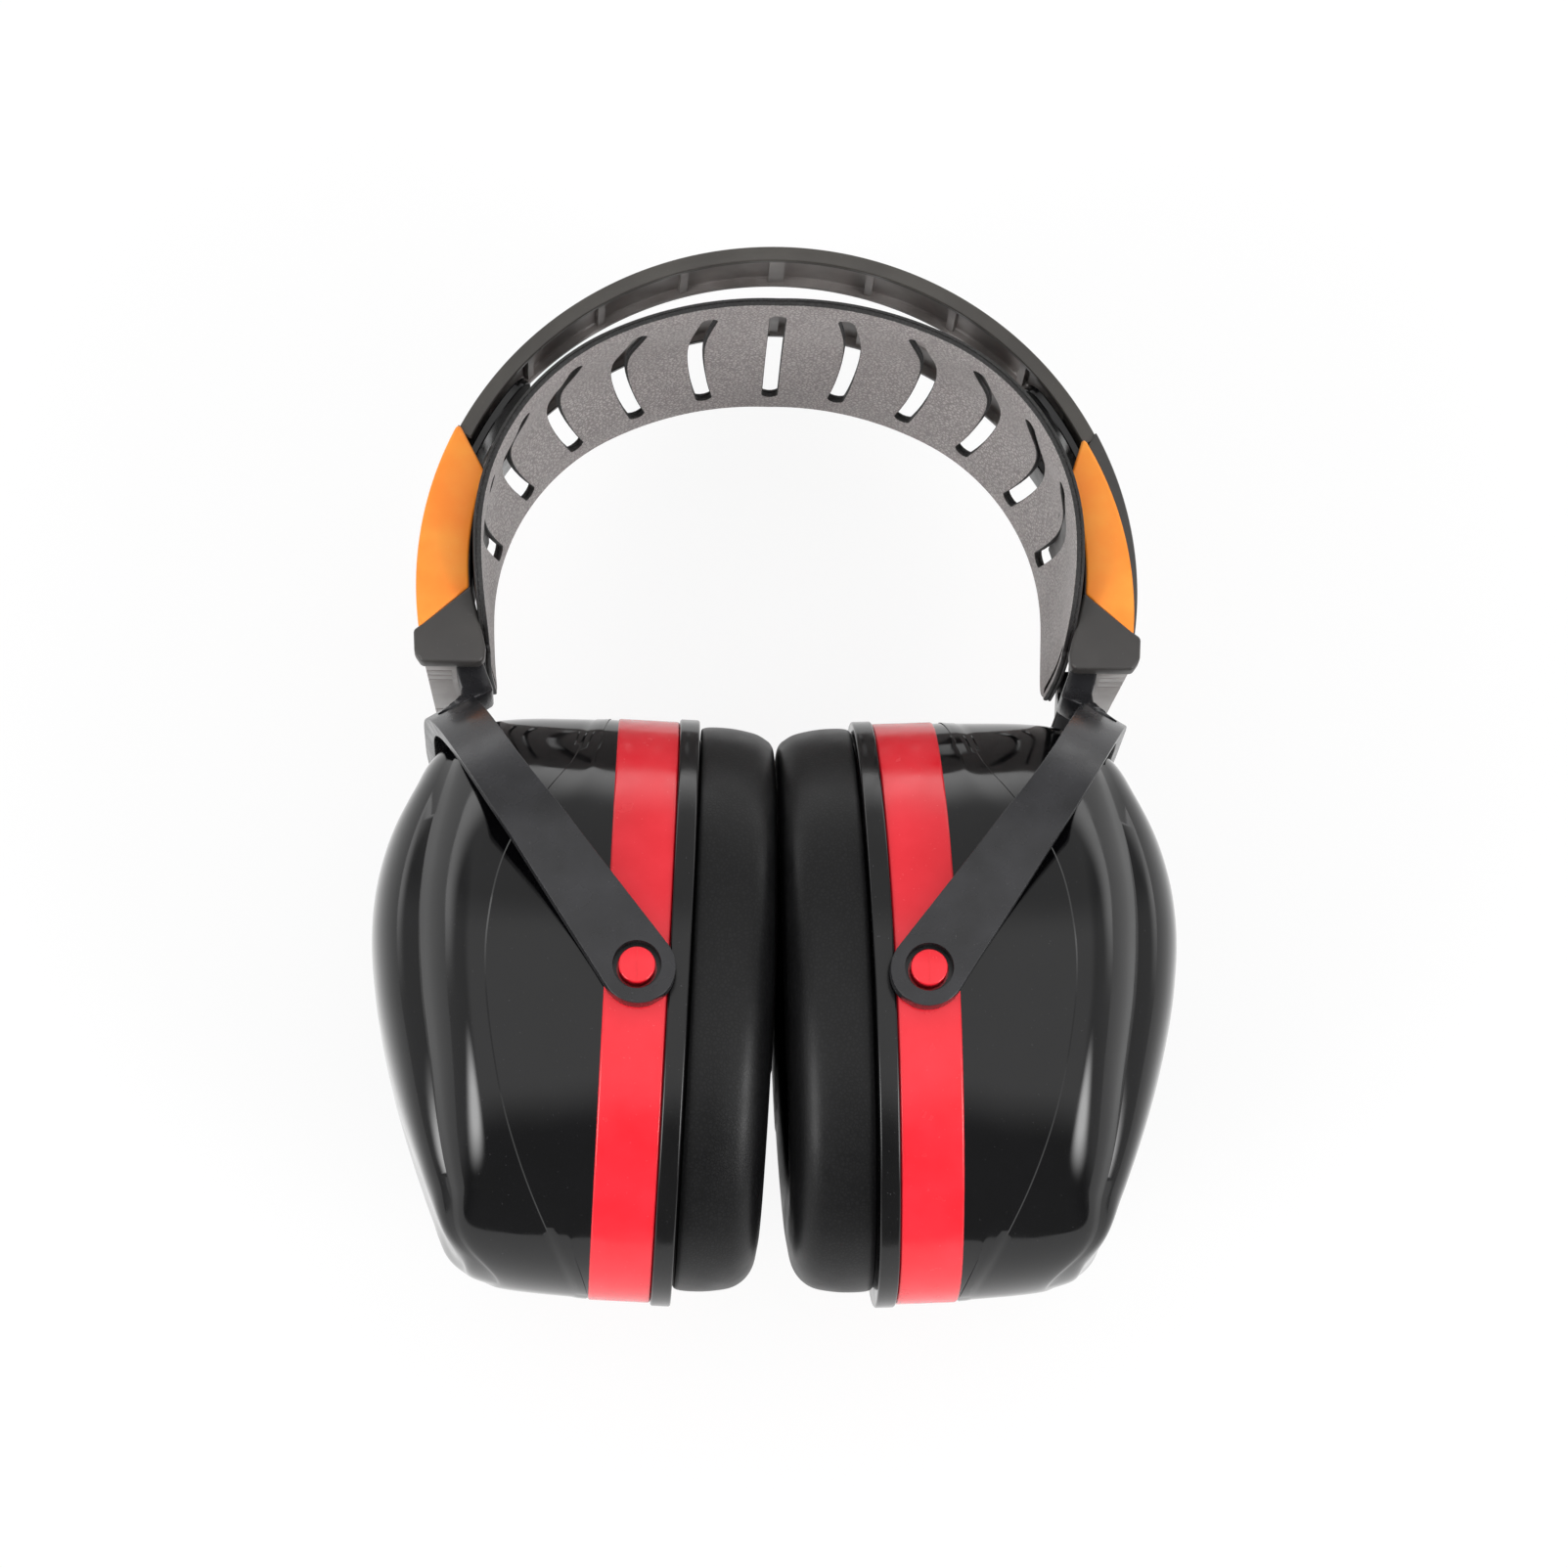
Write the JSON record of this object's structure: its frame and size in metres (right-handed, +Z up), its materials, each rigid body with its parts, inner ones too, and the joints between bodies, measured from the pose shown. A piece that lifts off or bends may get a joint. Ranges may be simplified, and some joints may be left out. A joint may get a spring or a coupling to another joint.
{
  "type": "hearing protection earmuffs",
  "caption": "Over-the-head hearing protection earmuffs: deep oval cups on sliding yokes, a sprung arched headband with a slotted inner pad, and soft ear cushions.",
  "frame": {"origin": "bottom centre of the whole object's box, as it lies on its back on the rear eyes of the two yokes", "axes": "+Y from the cups to the crown of the headband, +Z up from the surface it lies on, which is the wearer's front, +X across the head to the cup named right"},
  "size_m": [0.1432, 0.1904, 0.0892],
  "materials": {
    "band_black": "satin",
    "ring_red": "gloss",
    "shell_black": "gloss",
    "frame_black": "satin",
    "flange_black": "satin",
    "insert_orange": "satin",
    "pad_grey": "matte",
    "foam_grey": "matte",
    "cushion_black": "satin"
  },
  "bodies": {
    "root": {"head_pad": "pad_grey"},
    "left_frame": {"pad_end_left": "pad_grey", "outer_band_left": "band_black", "side_housing_left": "frame_black", "housing_insert_left": "insert_orange"},
    "left_yoke": {"yoke_left": "frame_black", "slider_tongues_left": "frame_black"},
    "left_cup": {"outer_shell_left": "shell_black", "pivot_ring_left": "ring_red", "base_plate_left": "flange_black", "acoustic_foam_left": "foam_grey", "cushion_carrier_left": "flange_black", "cushion_foam_left": "foam_grey", "cushion_cover_left": "cushion_black"},
    "right_frame": {"pad_end_right": "pad_grey", "outer_band_right": "band_black", "side_housing_right": "frame_black", "housing_insert_right": "insert_orange"},
    "right_yoke": {"yoke_right": "frame_black", "slider_tongues_right": "frame_black"},
    "right_cup": {"outer_shell_right": "shell_black", "pivot_ring_right": "ring_red", "base_plate_right": "flange_black", "acoustic_foam_right": "foam_grey", "cushion_carrier_right": "flange_black", "cushion_foam_right": "foam_grey", "cushion_cover_right": "cushion_black"}
  },
  "joints": [
    {"name": "left_spread", "type": "hinge", "parent": "root", "child": "left_frame", "pos_m": [0, 0.09521, 0.0446], "axis": [0, 0, -1], "range_deg": [0, 30], "stiffness_Nm_per_rad": 2.6},
    {"name": "right_spread", "type": "hinge", "parent": "root", "child": "right_frame", "pos_m": [0, 0.09521, 0.0446], "axis": [0, 0, 1], "range_deg": [0, 30]},
    {"name": "left_height", "type": "slide", "parent": "left_frame", "child": "left_yoke", "axis": [0, -1, 0], "range_m": [0, 0.025], "deforming": ["slider_tongues_left"]},
    {"name": "right_height", "type": "slide", "parent": "right_frame", "child": "right_yoke", "axis": [0, -1, 0], "range_m": [0, 0.025], "deforming": ["slider_tongues_right"]},
    {"name": "left_tilt", "type": "hinge", "parent": "left_yoke", "child": "left_cup", "pos_m": [-0.02496, -0.04426, 0.0446], "axis": [0, 0, 1], "range_deg": [0, 30]},
    {"name": "right_tilt", "type": "hinge", "parent": "right_yoke", "child": "right_cup", "pos_m": [0.02496, -0.04426, 0.0446], "axis": [0, 0, -1], "range_deg": [0, 30]}
  ],
  "couplings": [
    {"joint": "right_spread", "follows": "left_spread", "ratio": 1},
    {"joint": "left_tilt", "follows": "left_spread", "ratio": 1},
    {"joint": "right_tilt", "follows": "left_spread", "ratio": 1}
  ]
}
